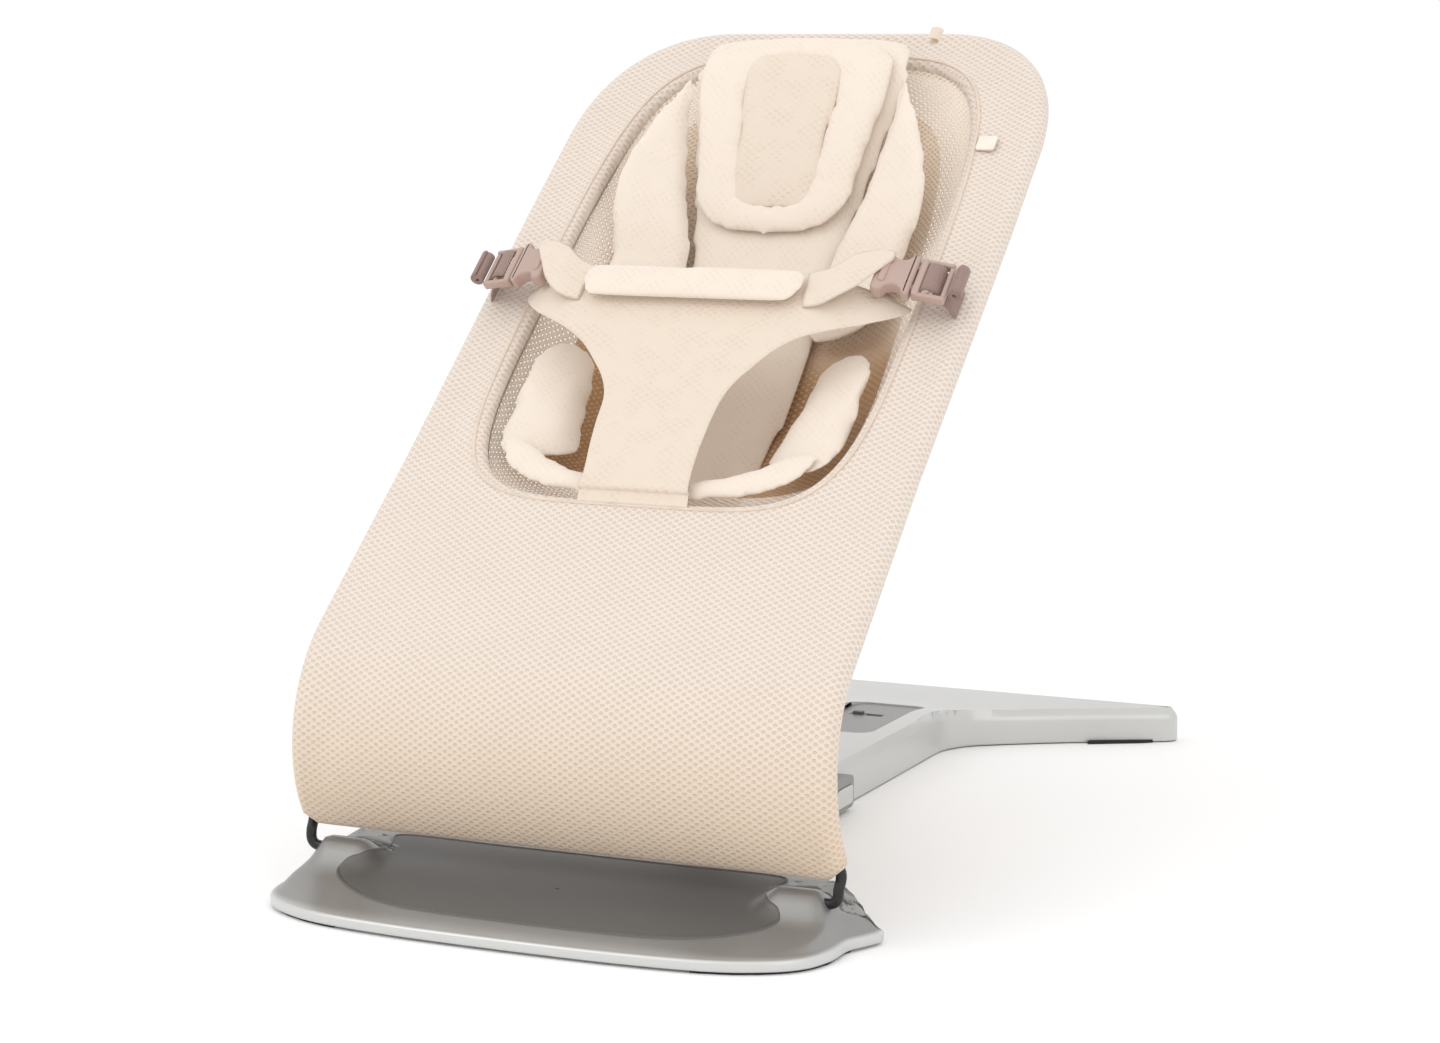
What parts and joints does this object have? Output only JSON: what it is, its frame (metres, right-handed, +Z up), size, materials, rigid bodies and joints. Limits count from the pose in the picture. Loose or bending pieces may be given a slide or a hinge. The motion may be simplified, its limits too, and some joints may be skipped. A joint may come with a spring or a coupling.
{
  "type": "bouncer seat",
  "caption": "Reclining baby bouncer seat: padded mesh fabric on a bent tube frame, hinged on a flat T-shaped base, held by a folding arm in a notched track, with a buckled restraint.",
  "frame": {"origin": "middle of the base's footprint, on the floor, at the bottom of the rubber feet", "axes": "+Z up, -Y towards the front foot and the sitter's feet, +X to the right seen from the front"},
  "size_m": [0.428, 0.798, 0.5857],
  "materials": {
    "shell_silver": "fine silver-grey moulded texture",
    "shell_grey": "mid-grey moulded texture",
    "inlay_dark": "dark grey moulded texture",
    "tube_coated": "powder-coated tube",
    "steel": "plated steel",
    "wire_black": "black powder coat",
    "rubber_foot": "soft non-slip rubber",
    "cover_fabric": "cream air-mesh with a small diamond lattice",
    "mesh_fabric": "cream open mesh",
    "quilt_fabric": "cream knit, padded",
    "buckle_plastic": "dusty taupe moulded plastic",
    "webbing": "taupe woven webbing",
    "plastic_black": "black moulded plastic"
  },
  "bodies": {
    "base": {"front_foot_shell": "shell_silver", "front_foot_inlay": "inlay_dark", "pivot_bush_right": "plastic_black", "pivot_bush_left": "plastic_black", "front_pad_right": "rubber_foot", "front_pad_left": "rubber_foot", "spine_shell": "shell_silver", "track_rail": "plastic_black", "deck_panel": "shell_grey", "latch_housing_right": "shell_grey", "latch_housing_left": "shell_grey", "rear_pad_right": "rubber_foot", "rear_pad_left": "rubber_foot", "spine_bottom_cover": "plastic_black", "cover_screw_1": "steel", "cover_screw_2": "steel", "cover_screw_3": "steel", "cover_screw_4": "steel"},
    "seat": {"frame_tube": "tube_coated", "lower_wire_right": "wire_black", "lower_wire_left": "wire_black", "hem_batten": "plastic_black", "rear_crossbar": "tube_coated", "bar_clamp_right": "plastic_black", "bar_clamp_left": "plastic_black", "clamp_screw_right": "steel", "clamp_screw_left": "steel", "arm_collar_right": "steel", "arm_collar_left": "steel", "seat_cover": "cover_fabric", "seat_pouch": "mesh_fabric", "insert_pad": "quilt_fabric", "insert_wing_right": "quilt_fabric", "insert_wing_left": "quilt_fabric", "insert_bolster_right": "quilt_fabric", "insert_bolster_left": "quilt_fabric", "insert_front_roll": "quilt_fabric", "head_pillow": "quilt_fabric", "pillow_inset": "quilt_fabric", "restraint_panel": "cover_fabric", "chest_roll": "quilt_fabric", "crotch_tab": "cover_fabric", "panel_wing_right": "cover_fabric", "panel_wing_left": "cover_fabric", "buckle_female_right": "buckle_plastic", "buckle_female_left": "buckle_plastic", "side_label": "quilt_fabric", "ribbon_loop": "quilt_fabric"},
    "arm": {"support_arm": "wire_black"},
    "shoe": {"slide_shoe": "shell_grey", "shoe_pin": "steel"},
    "button_right": {"release_button_right": "shell_silver"},
    "button_left": {"release_button_left": "shell_silver"},
    "lock": {"lock_slider": "inlay_dark"},
    "buckle_right": {"buckle_male_right": "buckle_plastic", "strap_webbing_right": "webbing", "strap_tail_right": "webbing"},
    "buckle_left": {"buckle_male_left": "buckle_plastic", "strap_webbing_left": "webbing", "strap_tail_left": "webbing"}
  },
  "joints": [
    {"name": "seat_recline", "type": "hinge", "parent": "base", "child": "seat", "pos_m": [0, -0.306, 0.03], "axis": [-1, 0, 0], "range_deg": [0, 40]},
    {"name": "arm_swing", "type": "hinge", "parent": "seat", "child": "arm", "pos_m": [0, -0.156, 0.19093], "axis": [-1, 0, 0], "range_deg": [-80, 0]},
    {"name": "shoe_swing", "type": "hinge", "parent": "arm", "child": "shoe", "pos_m": [0, -0.006, 0.03], "axis": [-1, 0, 0], "range_deg": [0, 40]},
    {"name": "button_right_press", "type": "slide", "parent": "base", "child": "button_right", "axis": [-1, 0, 0], "range_m": [0, 0.003], "stiffness_N_per_m": 400, "springref_m": -0.002},
    {"name": "button_left_press", "type": "slide", "parent": "base", "child": "button_left", "axis": [1, 0, 0], "range_m": [0, 0.003], "stiffness_N_per_m": 400, "springref_m": -0.002},
    {"name": "lock_slide", "type": "slide", "parent": "base", "child": "lock", "axis": [1, 0, 0], "range_m": [0, 0.012]},
    {"name": "buckle_right_slide", "type": "slide", "parent": "seat", "child": "buckle_right", "axis": [0.9816, 0.1237, -0.1453], "range_m": [0, 0.022]},
    {"name": "buckle_left_slide", "type": "slide", "parent": "seat", "child": "buckle_left", "axis": [-0.9816, 0.1237, -0.1453], "range_m": [0, 0.022]}
  ],
  "couplings": [
    {"joint": "arm_swing", "follows": "seat_recline", "ratio": -2},
    {"joint": "shoe_swing", "follows": "seat_recline", "ratio": 1}
  ]
}
